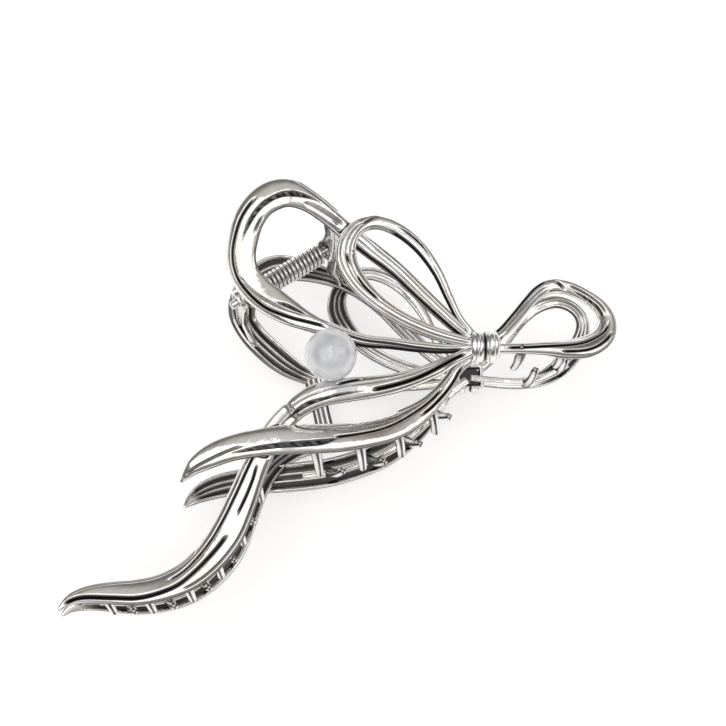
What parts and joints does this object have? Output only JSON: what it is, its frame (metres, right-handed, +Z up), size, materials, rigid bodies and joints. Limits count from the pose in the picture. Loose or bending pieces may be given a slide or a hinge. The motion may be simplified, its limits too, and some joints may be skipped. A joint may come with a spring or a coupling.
{
  "type": "claw hair clip",
  "caption": "Silver claw hair clip shaped as an openwork ribbon bow with a pearl; mirrored sprung jaws with teeth turn on a hinge pin.",
  "frame": {"origin": "centre of the closed clip's outline, on the ground plane it lies on", "axes": "+X along the hinge pin towards the small loop, +Y towards the big finger loops, +Z up out of the front jaw; the clip lies closed on its back jaw"},
  "size_m": [0.1154, 0.0574, 0.0478],
  "materials": {
    "silver_plating": "bright silver-coloured plating on cast metal, polished ridges with darker grooves",
    "hinge_steel": "drawn and nickel-plated wire",
    "pearl_coat": "glossy white pearlescent coating on a plastic bead"
  },
  "bodies": {
    "back_jaw": {"back_big_loop": "silver_plating", "back_middle_loop": "silver_plating", "back_small_loop": "silver_plating", "back_long_tail": "silver_plating", "back_lower_tail": "silver_plating", "back_knot_wrap": "silver_plating", "back_pearl_seat": "silver_plating", "back_left_lug": "silver_plating", "back_right_lug": "silver_plating", "back_tail_teeth": "silver_plating", "back_centre_teeth": "silver_plating", "back_loop_teeth": "silver_plating", "hinge_pin": "hinge_steel", "torsion_spring": "hinge_steel"},
    "front_jaw": {"front_big_loop": "silver_plating", "front_middle_loop": "silver_plating", "front_small_loop": "silver_plating", "front_long_tail": "silver_plating", "front_lower_tail": "silver_plating", "front_knot_wrap": "silver_plating", "front_pearl_seat": "silver_plating", "front_left_lug": "silver_plating", "front_right_lug": "silver_plating", "front_tail_teeth": "silver_plating", "front_centre_teeth": "silver_plating", "front_loop_teeth": "silver_plating", "pearl": "pearl_coat"}
  },
  "joints": [
    {"name": "jaw_hinge", "type": "hinge", "parent": "back_jaw", "child": "front_jaw", "pos_m": [0.01332, 0.01708, 0.02067], "axis": [-1, 0, 0], "range_deg": [0, 50], "stiffness_Nm_per_rad": 0.1, "springref_deg": -57.3, "deforming": ["torsion_spring"]}
  ]
}
